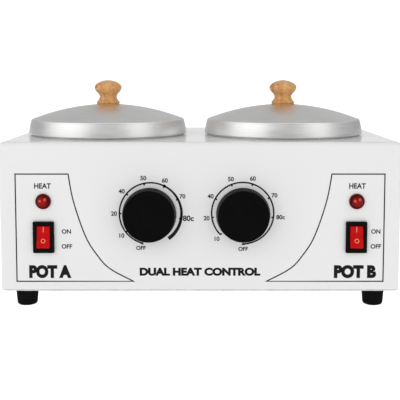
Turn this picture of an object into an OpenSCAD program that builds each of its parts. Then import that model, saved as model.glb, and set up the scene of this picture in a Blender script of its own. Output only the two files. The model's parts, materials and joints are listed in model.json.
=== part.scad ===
// Double wax warmer: an enamelled sheet-steel case holding two heated wells, each with a lift-out
// pot and a lid. The front carries two thermostat dials, two rocker switches and two lamps.
// Millimetres. +X is right, +Y is back, +Z is up, and the rubber feet stand on z = 0.

/* [Case] */
// Width of the case
case_w = 360; // [350:1:380]
// Depth of the case from front to back
case_d = 200; // [200:1:220]
// Height of the case, base plate included
case_h = 135.2; // [132:0.1:150]
// Thickness of the case's sheet steel
sheet_t = 1; // [0.8:0.1:1.2]
// Outside radius of the folds round the top panel
fold_r = 3.4; // [2:0.2:5]
// Outside radius of the upright corners
corner_r = 2; // [1.5:0.1:3]
// Width of the flange turned in round the bottom
flange_w = 18; // [17:0.5:18.5]
// Thickness of the base plate
base_t = 1.2; // [1:0.1:1.5]

/* [Feet] */
// Height of a rubber foot
foot_h = 15; // [12:1:20]
// Radius of a foot where it meets the base
foot_r = 10.3; // [9:0.1:11]
// Radius of a foot where it meets the table
foot_tip_r = 9; // [8:0.1:10]
// Distance of a foot's centre from the side of the case
foot_in_x = 21; // [18:1:24]
// Distance of a foot's centre from the front or back of the case
foot_in_y = 13.5; // [13:0.5:14]

/* [Pots and lids] */
// Distance between the centres of the two wells
well_spacing = 176.5; // [176:0.5:180]
// How far the pair of wells stands left of the middle
pair_shift = 4.5; // [0:0.5:5]
// Inside radius of a heating well
well_r = 68; // [66:0.5:68]
// Inside depth of a heating well below the top panel
well_depth = 82; // [76:1:84]
// Thickness of the spun aluminium of wells, pots and lids
spun_t = 1.2; // [1:0.1:1.4]
// Gap between a pot's wall and its well
pot_gap = 1.6; // [1:0.1:2]
// Radius of a lid at its rim
lid_r = 79.1; // [78.5:0.1:80]
// Radius of a lid at its shoulder
shoulder_r = 76.7; // [75:0.1:77.5]
// Height of a lid's middle above the pot's flange
lid_h = 27.8; // [26:0.1:32]
// How far a lid's skirt hangs down outside the pot's flange
skirt_drop = 0.4; // [0.4:0.1:1.9]
// Height of a lid's wooden knob
grip_h = 24.4; // [22:0.1:28]
// Largest radius of a lid's wooden knob
grip_r = 13.75; // [12:0.25:15]

/* [Front controls] */
// Distance between the two dials
dial_spacing = 84.2; // [80:0.2:86]
// How far the pair of dials stands left of the middle
dial_shift = 3.4; // [0:0.2:4]
// Height of the dials above the bottom of the case
dial_z = 70; // [68:0.2:74]
// Radius of a dial knob at the panel
dial_r = 24.3; // [22:0.1:25]
// How far a dial knob stands out from the panel
dial_reach = 13; // [12:0.5:18]
// Distance from one switch to the other
switch_spacing = 281; // [276:1:284]
// Height of the switches above the bottom of the case
switch_z = 49.6; // [46:0.2:52]
// Height of the lamps above the bottom of the case
lamp_z = 82; // [80:0.5:90]
// Radius of a lamp's lens
lamp_r = 7; // [6.5:0.1:8]
// Tilt of a rocker either side of its middle
rocker_tilt = 11; // [8:0.5:12]

/* [Mains inlet] */
// Height of the inlet above the bottom of the case
inlet_z = 35; // [30:1:45]
// Thickness of the inlet's flange
inlet_reach = 2.5; // [2.4:0.1:3]

/* [Hidden] */

// The sides are numbered -1 for left and 1 for right.
LEFT = -1;
RIGHT = 1;
STEPS = 96;         // fineness of the round parts
ARC = 6;            // straight pieces in a small rounded corner
TURNED = 20;        // straight pieces along a turned outline
EPS = 0.01;

// Places of the main parts
total_d = dial_reach + case_d + inlet_reach;
front_y = dial_reach - total_d / 2;
back_y = front_y + case_d;
top_z = foot_h + case_h;
floor_z = foot_h + base_t;
well_y = front_y + case_d / 2;
function well_x(side) = side * well_spacing / 2 - pair_shift;
function dial_x(side) = side * dial_spacing / 2 - dial_shift;
function switch_x(side) = side * switch_spacing / 2;
foot_x = case_w / 2 - foot_in_x;

// Wells, pots and their flanges
flange_t = 1;                               // thickness of a well's and a pot's flange
well_out = well_r + spun_t;
well_flange_r = 76.5;
pot_r = well_r - pot_gap;
pot_flange_r = 77;
pot_floor_gap = 0.8;
bowl_corner = 8;
lid_gap = 0.2;
lid_z = top_z + 2 * flange_t + lid_gap;     // height of the lip a lid rests on
well_bottom = top_z - well_depth - spun_t;

// Heater band and insulation round a well
band_r = well_out + 0.1;
band_t = 1.5;
band_h = 45;
band_z = well_bottom + 18;
band_gap = 6;
lug_t = 1.5;
lug_reach = 8.5;
lug_in = 2;                                 // how far a lug stops short of the band's edges
lug_angle = -25;
heater_post_angles = [-57, -48];
heater_post_reach = 80;
heater_post_z = band_z + 8;
wrap_r = band_r + band_t + 0.4;
wrap_t = 4;
wrap_floor = 5;
wrap_z = well_bottom - wrap_floor - 0.2;
bulb_r = 3;
bulb_len = 50;
bulb_z = well_bottom + 9;
bulb_y = -(well_out + bulb_r + 0.1);

// Bridge that pulls a well down on the top panel
bridge_t = 1.5;
bridge_w = 105;
bridge_d = 30;
bridge_foot = 12;
bridge_screw_x = bridge_w / 2 + bridge_foot / 2;
stud_r = 2.5;
stud_len = 15;

// Lid outline: its slope grows evenly from the middle to the shoulder
dome_bend = 195;
flat_r = 12;
shoulder_round = 2.5;
lip_w = 4.3;
lid_hole_r = 2.2;
function dome_drop(r) = (r * r - flat_r * flat_r) / (2 * dome_bend);
function dome_at(r) = lid_h - (r > flat_r ? dome_drop(r) : 0);

// Dials
shaft_r = 3;
shaft_fit = 0.05;
bush_r = 4.8;
thermo_w = 32;
thermo_h = 34;
thermo_d = 20;
thermo_screw_x = 14;
dial_gap = 0.8;

// Switches
bezel_w = 19;
bezel_h = 28.4;
bezel_t = 2.6;
switch_w = 16;
switch_h = 25;
switch_d = 20;
window_w = 12.2;
window_h = 21.4;
window_d = 7;
rocker_w = 11.6;
pivot_out = 0.9;
trunnion_r = 1;
trunnion_len = 0.9;
blade = [6.3, 0.8, 9];
blade_pitch = 8;

// Lamps
lamp_tube_r = 5.5;
lamp_wall = 1;
lamp_d = 20;

// Mains inlet
pin_places = [[-7, -2], [7, -2], [0, 2]];
inlet_screw_x = 20;

// Terminal block, on the base plate
block = [40, 17, 14];
block_y = front_y + 128.5;
pole_pitch = 12;
pole_z = floor_z + 7;
pole_bore = 2.3;

// Screws: shank radius, head radius and head height
m3 = [1.45, 2.9, 1.9];
m4 = [1.95, 3.5, 2.2];
m4_nut = [4.04, 3.2];

wire_r = 0.9;
TUBE_SIDES = 8;

// ---- Places ----

// Local +x is right, +y is up and +z points out of the front panel.
module on_front(x, z) {
    translate([x, front_y, foot_h + z]) rotate([90, 0, 0]) children();
}

// Local +y is up and +z points out of the back panel.
module on_back(x, z) {
    translate([x, back_y, foot_h + z]) rotate([90, 0, 180]) children();
}

// Local +x points from a well's axis to the middle of the case.
module at_well(side) {
    translate([well_x(side), well_y, 0])
        mirror([side == RIGHT ? 1 : 0, 0, 0])
            children();
}

module at_feet() {
    for (x = [-foot_x, foot_x], y = [front_y + foot_in_y, back_y - foot_in_y])
        translate([x, y, 0]) children();
}

module at_base_screws() {
    inset = 13;
    for (x = [-case_w / 3, 0, case_w / 3], y = [front_y + inset, back_y - inset])
        translate([x, y, 0]) children();
    for (x = [-1, 1])
        translate([x * (case_w / 2 - inset), well_y, 0]) children();
}

module at_bridge_screws() {
    for (side = [LEFT, RIGHT], end = [-1, 1])
        translate([well_x(side) + end * bridge_screw_x, well_y, 0]) children();
}

// ---- Shapes used more than once ----

module round_rect(w, h, r) {
    square([w - 2 * r, h], center = true);
    square([w, h - 2 * r], center = true);
    for (x = [-1, 1], y = [-1, 1])
        translate([x * (w / 2 - r), y * (h / 2 - r)]) circle(r, $fn = STEPS);
}

// An upright rectangle standing on y = 0 with its two top corners rounded.
module arch(w, h, r) {
    translate([-w / 2, 0]) square([w, h - r]);
    translate([r - w / 2, 0]) square([w - 2 * r, h]);
    for (x = [-1, 1])
        translate([x * (w / 2 - r), h - r]) circle(r, $fn = STEPS);
}

// A block whose top edges are folds of radius fold and whose upright edges have radius corner.
module folded_block(w, d, h, fold, corner) {
    intersection() {
        linear_extrude(h) round_rect(w, d, corner);
        translate([0, d / 2, 0]) rotate([90, 0, 0]) linear_extrude(d) arch(w, h, fold);
        translate([-w / 2, 0, 0]) rotate([90, 0, 90]) linear_extrude(w) arch(d, h, fold);
    }
}

module ring(r_out, r_in, h) {
    difference() {
        cylinder(h, r = r_out, $fn = STEPS);
        translate([0, 0, -1]) cylinder(h + 2, r = r_in, $fn = STEPS);
    }
}

// A solid cup standing on z = 0 with a rounded bottom edge.
module cup(r, h, corner) {
    rotate_extrude($fn = STEPS)
        polygon(concat(
            [[0, h], [0, 0]],
            [for (i = [0:ARC])
                [r - corner + corner * sin(90 * i / ARC), corner - corner * cos(90 * i / ARC)]],
            [[r, h]]
        ));
}

// A pan-head screw with the underside of its head on z = 0 and its shank pointing up.
module pan_screw(size, length) {
    translate([0, 0, -size[2] / 2]) cylinder(length + size[2] / 2, r = size[0], $fn = STEPS);
    translate([0, 0, -size[2]]) difference() {
        cylinder(size[2], r = size[1], $fn = STEPS);
        for (a = [0, 90]) rotate(a) translate([-2, -0.4, -1]) cube([4, 0.8, 2]);
    }
}

module hex_nut(size, bore) {
    difference() {
        cylinder(size[1], r = size[0], $fn = 6);
        translate([0, 0, -1]) cylinder(size[1] + 2, r = bore, $fn = STEPS);
    }
}

// ---- Wires: round tubes swept along a smooth curve through a few points ----

function unit(v) = v / norm(v);
function spline_at(a, b, c, d, t) =
    0.5 * (2 * b + (c - a) * t + (2 * a - 5 * b + 4 * c - d) * t * t
        + (3 * b - a - 3 * c + d) * t * t * t);
function spline(p, n) = concat(
    [for (i = [0:len(p) - 2], k = [0:n - 1])
        spline_at(p[max(i - 1, 0)], p[i], p[i + 1], p[min(i + 2, len(p) - 1)], k / n)],
    [p[len(p) - 1]]
);
function tangents(q) = [for (i = [0:len(q) - 1]) unit(q[min(i + 1, len(q) - 1)] - q[max(i - 1, 0)])];
function sideways(t) = unit(cross(t, abs(t[2]) < 0.7 ? [0, 0, 1] : [1, 0, 0]));
function carried(t, i, list) = i == len(t) ? list
    : carried(t, i + 1, concat(list, [unit(list[i - 1] - t[i] * (list[i - 1] * t[i]))]));

module tube(points, r, n = 5) {
    path = spline(points, n);
    t = tangents(path);
    u = carried(t, 1, [sideways(t[0])]);
    last = len(path) - 1;
    polyhedron(
        points = [for (i = [0:last], k = [0:TUBE_SIDES - 1])
            let (a = 360 * k / TUBE_SIDES)
            path[i] + r * (cos(a) * u[i] + sin(a) * cross(t[i], u[i]))],
        faces = concat(
            [[for (k = [0:TUBE_SIDES - 1]) k]],
            [for (i = [0:last - 1], k = [0:TUBE_SIDES - 1])
                let (m = (k + 1) % TUBE_SIDES, a = i * TUBE_SIDES, b = a + TUBE_SIDES)
                [a + k, b + k, b + m, a + m]],
            [[for (k = [TUBE_SIDES - 1:-1:0]) last * TUBE_SIDES + k]]
        )
    );
}

// A point inside the case: x, depth behind the front panel, height above the base plate.
function inside(x, depth, z) = [x, front_y + depth, floor_z + z];

// ---- Case ----

module case_shell() color("white") difference() {
    translate([0, well_y, floor_z])
        folded_block(case_w, case_d, case_h - base_t, fold_r, corner_r);
    translate([0, well_y, floor_z + sheet_t])
        folded_block(case_w - 2 * sheet_t, case_d - 2 * sheet_t, case_h - base_t - 2 * sheet_t,
            fold_r - sheet_t, corner_r - sheet_t);
    translate([0, well_y, floor_z + sheet_t])
        cube([case_w - 2 * (sheet_t + flange_w), case_d - 2 * (sheet_t + flange_w), 4], center = true);
    for (side = [LEFT, RIGHT]) {
        translate([well_x(side), well_y, top_z - 5]) cylinder(10, r = well_out + 0.8, $fn = STEPS);
        on_front(dial_x(side), dial_z) {
            translate([0, 0, -5]) cylinder(10, r = bush_r + 0.2, $fn = STEPS);
            for (x = [-thermo_screw_x, thermo_screw_x])
                translate([x, 0, -5]) cylinder(10, r = m4[0] + 0.15, $fn = STEPS);
        }
        on_front(switch_x(side), switch_z)
            cube([switch_w + 0.2, switch_h + 0.2, 10], center = true);
        on_front(switch_x(side), lamp_z)
            translate([0, 0, -5]) cylinder(10, r = lamp_tube_r + 0.1, $fn = STEPS);
    }
    on_back(0, inlet_z) {
        cube([28, 21, 10], center = true);
        for (x = [-inlet_screw_x, inlet_screw_x])
            translate([x, 0, -5]) cylinder(10, r = m3[0] + 0.15, $fn = STEPS);
    }
    translate([0, 0, floor_z - 1]) {
        at_base_screws() cylinder(4, r = m4[0] + 0.05, $fn = STEPS);
        at_feet() cylinder(4, r = m4[0] + 0.15, $fn = STEPS);
    }
}

module vent_slots() {
    slot_r = 1.75;
    slot_len = 26;
    for (side = [LEFT, RIGHT], i = [-3:3], row = [-1, 1])
        translate([well_x(side) + 10 * i, well_y + row * 42, foot_h - 1]) {
            translate([-slot_r, -slot_len / 2, 0]) cube([2 * slot_r, slot_len, base_t + 2]);
            for (end = [-1, 1])
                translate([0, end * slot_len / 2, 0]) cylinder(base_t + 2, r = slot_r, $fn = 24);
        }
}

module base_plate() color("gainsboro") difference() {
    rim = 1;
    translate([0, well_y, foot_h]) linear_extrude(base_t)
        round_rect(case_w - 2 * rim, case_d - 2 * rim, corner_r);
    vent_slots();
    translate([0, 0, foot_h - 1]) {
        at_feet() cylinder(base_t + 2, r = m4[0] + 0.15, $fn = STEPS);
        at_base_screws() cylinder(base_t + 2, r = m4[0] + 0.15, $fn = STEPS);
        at_bridge_screws() cylinder(base_t + 2, r = m4[0] + 0.15, $fn = STEPS);
        at_earth_stud() cylinder(base_t + 2, r = m4[0] + 0.15, $fn = STEPS);
    }
}

module base_screws() color("silver")
    at_base_screws() translate([0, 0, foot_h]) pan_screw(m4, 6);

// ---- Feet ----

module foot(x, y) color("black") translate([x, y, 0]) difference() {
    edge = 0.8;
    rotate_extrude($fn = STEPS) polygon([
        [0, 0], [foot_tip_r - edge, 0], [foot_tip_r, edge], [foot_r, foot_h - edge],
        [foot_r - edge / 2, foot_h], [0, foot_h]
    ]);
    translate([0, 0, -1]) cylinder(foot_h / 2 + 1, r = 5, $fn = STEPS);
    cylinder(foot_h + 1, r = m4[0] + 0.15, $fn = STEPS);
}

module foot_front_left() foot(-foot_x, front_y + foot_in_y);
module foot_front_right() foot(foot_x, front_y + foot_in_y);
module foot_back_left() foot(-foot_x, back_y - foot_in_y);
module foot_back_right() foot(foot_x, back_y - foot_in_y);

module foot_screws() color("silver")
    at_feet() translate([0, 0, foot_h / 2])
        pan_screw(m4, foot_h / 2 + base_t + sheet_t + m4_nut[1] + 1);

module foot_nuts() color("silver")
    at_feet() translate([0, 0, floor_z + sheet_t]) hex_nut(m4_nut, m4[0] + 0.05);

// ---- Wells and heaters ----

module well(side) color("lightgray") at_well(side) {
    difference() {
        union() {
            translate([0, 0, well_bottom]) cup(well_out, top_z - well_bottom, bowl_corner);
            translate([0, 0, top_z]) cylinder(flange_t, r = well_flange_r, $fn = STEPS);
        }
        translate([0, 0, well_bottom + spun_t])
            cup(well_r, well_depth + 5, bowl_corner - spun_t);
    }
    translate([0, 0, well_bottom - stud_len]) cylinder(stud_len + EPS, r = stud_r, $fn = STEPS);
}

module left_well() well(LEFT);
module right_well() well(RIGHT);

module heater_band(side) color("peru") at_well(side) difference() {
    lug_w = band_gap + 2 * lug_t;
    union() {
        translate([0, 0, band_z]) cylinder(band_h, r = band_r + band_t, $fn = STEPS);
        rotate(lug_angle) translate([band_r / 2, -lug_w / 2, band_z + lug_in])
            cube([band_r / 2 + lug_reach, lug_w, band_h - 2 * lug_in]);
        for (a = heater_post_angles)
            rotate(a) translate([0, 0, heater_post_z]) rotate([0, 90, 0])
                cylinder(heater_post_reach, r = 2, $fn = STEPS);
    }
    translate([0, 0, band_z - 1]) cylinder(band_h + 2, r = band_r, $fn = STEPS);
    rotate(lug_angle) {
        translate([0, -band_gap / 2, band_z - 1]) cube([100, band_gap, band_h + 2]);
        at_band_screws() cylinder(lug_w + 2, r = m3[0] + 0.1, $fn = STEPS);
    }
}

module left_heater_band() heater_band(LEFT);
module right_heater_band() heater_band(RIGHT);

// Local +z runs across the gap, from 1 mm outside one lug.
module at_band_screws() {
    for (z = [band_h * 0.2, band_h * 0.8])
        translate([band_r + lug_reach - 3.5, -band_gap / 2 - lug_t - 1, band_z + z])
            rotate([-90, 0, 0]) children();
}

module band_screws() color("silver") for (side = [LEFT, RIGHT]) at_well(side) rotate(lug_angle)
    at_band_screws() translate([0, 0, 1]) pan_screw(m3, band_gap + 2 * lug_t + 3);

module insulation(side) color("khaki") at_well(side) difference() {
    translate([0, 0, wrap_z]) cylinder(top_z - sheet_t - 3 - wrap_z, r = wrap_r + wrap_t, $fn = STEPS);
    translate([0, 0, wrap_z + wrap_floor]) cylinder(case_h, r = wrap_r, $fn = STEPS);
    translate([0, 0, wrap_z - 1]) cylinder(wrap_floor + 2, r = stud_r + 1.5, $fn = STEPS);
    rotate(lug_angle) translate([60, -10, band_z - 4]) cube([30, 20, band_h + 8]);
    for (a = heater_post_angles)
        rotate(a) translate([60, 0, heater_post_z]) rotate([0, 90, 0]) cylinder(30, r = 3, $fn = STEPS);
    translate([-bulb_len / 2 - 4, -95, bulb_z - bulb_r - 1]) cube([bulb_len + 8, 35, 2 * bulb_r + 2]);
}

module left_insulation() insulation(LEFT);
module right_insulation() insulation(RIGHT);

module well_bridge(side) color("silver") at_well(side) difference() {
    union() {
        translate([-bridge_w / 2, -bridge_d / 2, wrap_z - bridge_t]) cube([bridge_w, bridge_d, bridge_t]);
        for (s = [0, 1]) mirror([s, 0, 0]) {
            translate([bridge_w / 2 - bridge_t, -bridge_d / 2, floor_z])
                cube([bridge_t, bridge_d, wrap_z - floor_z]);
            translate([bridge_w / 2 - bridge_t, -bridge_d / 2, floor_z])
                cube([bridge_foot + bridge_t, bridge_d, bridge_t]);
        }
    }
    translate([0, 0, wrap_z - 10]) cylinder(12, r = stud_r + 0.2, $fn = STEPS);
    for (x = [-bridge_screw_x, bridge_screw_x])
        translate([x, 0, floor_z - 1]) cylinder(6, r = m4[0] + 0.05, $fn = STEPS);
}

module left_well_bridge() well_bridge(LEFT);
module right_well_bridge() well_bridge(RIGHT);

module bridge_screws() color("silver")
    at_bridge_screws() translate([0, 0, foot_h]) pan_screw(m4, 6);

module well_nuts() color("silver") for (side = [LEFT, RIGHT]) at_well(side)
    translate([0, 0, wrap_z - bridge_t - 4]) hex_nut([4.6, 4], stud_r + 0.05);

// ---- Thermostats ----

module thermostat(side) color("darkgray") on_front(dial_x(side), dial_z) difference() {
    union() {
        translate([0, 0, -sheet_t - 0.6]) cube([thermo_w + 4, thermo_h + 4, 1.2], center = true);
        translate([0, 0, -sheet_t - thermo_d]) linear_extrude(thermo_d - 0.5)
            round_rect(thermo_w, thermo_h, 3);
        translate([0, 0, -sheet_t - 1]) cylinder(sheet_t + 2.5, r = bush_r, $fn = STEPS);
    }
    translate([0, 0, -14]) cylinder(20, r = shaft_r + shaft_fit, $fn = STEPS);
    for (x = [-thermo_screw_x, thermo_screw_x])
        translate([x, 0, -6]) cylinder(6, r = m4[0] + 0.05, $fn = STEPS);
}

module left_thermostat() thermostat(LEFT);
module right_thermostat() thermostat(RIGHT);

module thermostat_terminals() color("goldenrod") for (side = [LEFT, RIGHT])
    on_front(dial_x(side), dial_z) for (x = [-8, 8])
        translate([x, -6, -sheet_t - thermo_d - blade[2] / 2]) cube(blade, center = true);

module thermostat_screws() color("silver") for (side = [LEFT, RIGHT])
    on_front(dial_x(side), dial_z) for (x = [-thermo_screw_x, thermo_screw_x])
        translate([x, 0, 0]) mirror([0, 0, 1]) pan_screw(m4, 5);

module capillary(side) color("tan") {
    start = [dial_x(side), front_y + sheet_t + thermo_d + 0.1, foot_h + dial_z + 8];
    end = [well_x(side) - side * bulb_len / 2, well_y + bulb_y, bulb_z];
    tube([
        start, start + [0, 4, 0], start + [side * 9, 7, -3], end + [-side * 5, 0.5, 6],
        end + [-side * 3, 0, 1], end
    ], 0.75);
    translate([well_x(side) - bulb_len / 2, end[1], end[2]]) rotate([0, 90, 0])
        cylinder(bulb_len, r = bulb_r, $fn = STEPS);
}

module left_capillary() capillary(LEFT);
module right_capillary() capillary(RIGHT);

module dial_shaft(side) color("silver") on_front(dial_x(side), dial_z) difference() {
    translate([0, 0, -13]) cylinder(13 + dial_reach - 4, r = shaft_r, $fn = STEPS);
    translate([-5, shaft_r - 1, 3.5]) cube([10, 5, dial_reach]);
}

module left_dial_shaft() dial_shaft(LEFT);
module right_dial_shaft() dial_shaft(RIGHT);

module dial_knob(side) color("black") on_front(dial_x(side), dial_z) {
    face_r = dial_r - 1.4;
    edge = 1.4;
    hollow_d = 8;
    boss_r = 7;
    difference() {
        rotate_extrude($fn = STEPS) polygon(concat(
            [[0, dial_gap], [dial_r, dial_gap], [dial_r, dial_gap + 1.5]],
            [for (i = [0:ARC])
                [face_r - edge + edge * cos(90 * i / ARC), dial_reach - edge + edge * sin(90 * i / ARC)]],
            [[0, dial_reach]]
        ));
        translate([0, 0, -1]) difference() {
            cylinder(hollow_d + 1, r = dial_r - 3, $fn = STEPS);
            translate([0, 0, 4]) cylinder(hollow_d, r = boss_r, $fn = STEPS);
        }
        difference() {
            translate([0, 0, 1]) cylinder(dial_reach - 4.5, r = shaft_r + shaft_fit, $fn = STEPS);
            translate([-5, shaft_r - 1 + shaft_fit, 3.7]) cube([10, 5, dial_reach]);
        }
    }
}

module left_dial_knob() dial_knob(LEFT);
module right_dial_knob() dial_knob(RIGHT);

// ---- Switches ----

module switch_housing(side) color("black") on_front(switch_x(side), switch_z) difference() {
    union() {
        linear_extrude(bezel_t) round_rect(bezel_w, bezel_h, 1.5);
        translate([0, 0, -switch_d / 2 + EPS]) cube([switch_w, switch_h, switch_d], center = true);
    }
    translate([0, 0, bezel_t - window_d / 2 - bezel_t / 2])
        cube([window_w, window_h, window_d + bezel_t + EPS], center = true);
    translate([0, 0, pivot_out]) rotate([0, 90, 0])
        cylinder(window_w + 2 * trunnion_len, r = trunnion_r + 0.05, center = true, $fn = STEPS);
}

module left_switch_housing() switch_housing(LEFT);
module right_switch_housing() switch_housing(RIGHT);

module switch_terminals() color("goldenrod") for (side = [LEFT, RIGHT])
    on_front(switch_x(side), switch_z) for (i = [-1:1])
        translate([0, i * blade_pitch, -switch_d - blade[2] / 2]) cube(blade, center = true);

// The rocker is pressed in at the top, which is on. Its outline is drawn level, then tipped.
module rocker(side) color("red") on_front(switch_x(side), switch_z)
    translate([0, 0, pivot_out]) rotate([-rocker_tilt, 0, 0]) {
        rotate([90, 0, 90]) linear_extrude(rocker_w, center = true) polygon([
            [9.9, 3], [0, 2.2], [-9.9, 3], [-10.1, 0], [-7.5, -5], [7.5, -5], [10.1, 0]
        ]);
        rotate([0, 90, 0])
            cylinder(rocker_w + 2 * trunnion_len, r = trunnion_r, center = true, $fn = STEPS);
    }

module left_rocker() rocker(LEFT);
module right_rocker() rocker(RIGHT);

// ---- Lamps ----

module lamp_body(side) color("black") on_front(switch_x(side), lamp_z)
    translate([0, 0, -lamp_d]) difference() {
        cylinder(lamp_d, r = lamp_tube_r, $fn = STEPS);
        translate([0, 0, 2]) cylinder(lamp_d, r = lamp_tube_r - lamp_wall, $fn = STEPS);
    }

module left_lamp_body() lamp_body(LEFT);
module right_lamp_body() lamp_body(RIGHT);

module lamp_lens(side) color("firebrick") on_front(switch_x(side), lamp_z) {
    dome_r = lamp_r - 1.6;
    rim_t = 1.8;
    wall = 1.1;
    rotate_extrude($fn = STEPS) polygon(concat(
        [[dome_r - wall, 0], [lamp_r, 0], [lamp_r, rim_t - 0.5], [lamp_r - 0.5, rim_t]],
        [for (i = [0:ARC]) [dome_r * cos(90 * i / ARC), rim_t + 3.6 * sin(90 * i / ARC)]],
        [for (i = [ARC:-1:0])
            [(dome_r - wall) * cos(90 * i / ARC), rim_t + (3.6 - wall) * sin(90 * i / ARC)]]
    ));
}

module left_lamp_lens() lamp_lens(LEFT);
module right_lamp_lens() lamp_lens(RIGHT);

module lamp_clips() color("silver") for (side = [LEFT, RIGHT])
    on_front(switch_x(side), lamp_z) translate([0, 0, -sheet_t - 0.6]) difference() {
        cylinder(0.6, r = 8.5, $fn = STEPS);
        translate([0, 0, -1]) cylinder(3, r = lamp_tube_r, $fn = STEPS);
    }

module neon_bulbs() color("orange") for (side = [LEFT, RIGHT])
    on_front(switch_x(side), lamp_z) translate([0, 0, -16]) cylinder(12, r = 2.5, $fn = STEPS);

// ---- Mains inlet ----

module power_inlet() color("black") on_back(0, inlet_z) difference() {
    union() {
        linear_extrude(inlet_reach) round_rect(50, 24, 4);
        translate([0, 0, -9 + EPS]) cube([27.6, 20.6, 18], center = true);
    }
    translate([0, 0, -14]) linear_extrude(20) polygon([
        [-12.2, -8.3], [12.2, -8.3], [12.2, 4], [8.5, 8.3], [-8.5, 8.3], [-12.2, 4]
    ]);
    for (p = pin_places)
        translate([p[0], p[1], -14]) cube([2.1, 4.1, 20], center = true);
    for (x = [-inlet_screw_x, inlet_screw_x]) translate([x, 0, 0]) {
        translate([0, 0, -1]) cylinder(6, r = m3[0] + 0.15, $fn = STEPS);
        translate([0, 0, inlet_reach - 1.7]) cylinder(1.8, r1 = 1.6, r2 = 3.2, $fn = STEPS);
    }
}

module inlet_pins() color("silver") on_back(0, inlet_z) for (p = pin_places)
    translate([p[0], p[1], -13.5]) cube([2, 4, 25], center = true);

module inlet_screws() color("silver") on_back(0, inlet_z)
    for (x = [-inlet_screw_x, inlet_screw_x]) translate([x, 0, 0]) {
        translate([0, 0, -5]) cylinder(6, r = m3[0], $fn = STEPS);
        translate([0, 0, inlet_reach - 1.6]) cylinder(1.5, r1 = m3[0], r2 = m3[1], $fn = STEPS);
    }

module inlet_nuts() color("silver") on_back(0, inlet_z)
    for (x = [-inlet_screw_x, inlet_screw_x])
        translate([x, 0, -sheet_t - 2.4]) hex_nut([3.2, 2.4], m3[0] + 0.05);

// ---- Wiring ----

module at_poles() {
    for (i = [-1:1]) translate([i * pole_pitch, 0, 0]) children();
}

module terminal_block() color("ivory") translate([0, block_y, 0]) difference() {
    translate([-block[0] / 2, -block[1] / 2, floor_z]) cube(block);
    at_poles() translate([0, 0, pole_z]) rotate([90, 0, 0])
        cylinder(block[1] + 2, r = pole_bore, center = true, $fn = STEPS);
    at_poles() for (y = [-4, 4])
        translate([0, y, pole_z]) cylinder(block[2], r = m3[0] + 0.6, $fn = STEPS);
}

module terminal_screws() color("silver") translate([0, block_y, 0]) at_poles() for (y = [-4, 4])
    translate([0, y, pole_z + pole_bore + 0.2]) cylinder(4, r = m3[0] + 0.5, $fn = STEPS);

module at_earth_stud() {
    translate([-20, front_y + 162, 0]) children();
}

module earth_stud() color("goldenrod") at_earth_stud() {
    translate([0, 0, foot_h]) pan_screw(m4, 12);
    translate([0, 0, floor_z]) hex_nut(m4_nut, m4[0] + 0.05);
}

module thermal_fuses() color("silver") for (side = [LEFT, RIGHT]) at_well(side)
    rotate(-74) translate([wrap_r + wrap_t + 2.2, 0, band_z + 20]) cylinder(12, r = 2, $fn = STEPS);

// The three places where wires can lie side by side in one pole's bore.
function pole_end(pole, slot, depth) =
    inside(pole * pole_pitch + 1.2 * sin(120 * slot), depth, 7 + 1.2 * cos(120 * slot));

function post_tip(side, i) = let (a = heater_post_angles[i], r = heater_post_reach + wire_r + 0.2)
    [well_x(side) - side * r * cos(a), well_y + r * sin(a), heater_post_z];

module wires_live() color("brown") {
    tube([[7, back_y - 27, foot_h + inlet_z - 2], [7, back_y - 36, foot_h + inlet_z - 5],
        inside(11, 152, 12), inside(12, 144, 7), inside(12, 134, 7)], wire_r);
    for (side = [LEFT, RIGHT]) {
        x = switch_x(side);
        slot = side == LEFT ? 0 : 1;
        tube([pole_end(1, slot, 124), pole_end(1, slot, 117), inside(10 + 4 * side, 90, 7 - slot),
            inside(side * 60, 56, 6), inside(side * 125, 50, 10), inside(x, 44, 32),
            inside(x, 36, switch_z - 2), inside(x, 31.2, switch_z - base_t)], wire_r);
        tube([inside(x - side * 1.6, 31.2, switch_z + 6.8), inside(x + side * 2, 36, switch_z + 2),
            inside(x + side * 4, 40, 30), inside(x - side * 30, 40, 22), inside(side * 70, 34, 26),
            inside(dial_x(side) + side * 8, 32.5, 46),
            inside(dial_x(side) + side * 8, 31.5, dial_z - 7)], wire_r);
        tube([inside(dial_x(side) - side * 8, 31.5, dial_z - 7),
            inside(dial_x(side) - side * 8, 35, dial_z - 3),
            post_tip(side, 0) + [side * -3, -1, -8], post_tip(side, 0)], wire_r, 4);
        tube([inside(x + side * 1.8, 31.2, switch_z + 7), inside(x + side * 4, 34, switch_z + 18),
            inside(x + side * 3, 26, lamp_z - 4), inside(x + side * 2, 21.2, lamp_z - base_t)],
            wire_r, 4);
    }
}

module wires_neutral() color("royalblue") {
    tube([[-7, back_y - 27, foot_h + inlet_z - 2], [-7, back_y - 36, foot_h + inlet_z - 5],
        inside(-2, 152, 12), inside(0, 144, 7), inside(0, 134, 7)], wire_r);
    for (side = [LEFT, RIGHT])
        tube([pole_end(0, side, 124), pole_end(0, side, 117), inside(side * 6, 90, 10),
            inside(side * 20, 66, 16), inside(side * 31, 50, 40),
            post_tip(side, 1) + [-side * 2, -3, -16], post_tip(side, 1)], wire_r);
}

module wire_earth() color("limegreen")
    tube([[0, back_y - 27, foot_h + inlet_z + 2], [0, back_y - 31, foot_h + inlet_z + 5],
        [-14, back_y - 35, foot_h + inlet_z + 8], inside(-20, 160, 30), inside(-20, 162, 12)], wire_r);

// ---- Pots ----

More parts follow.
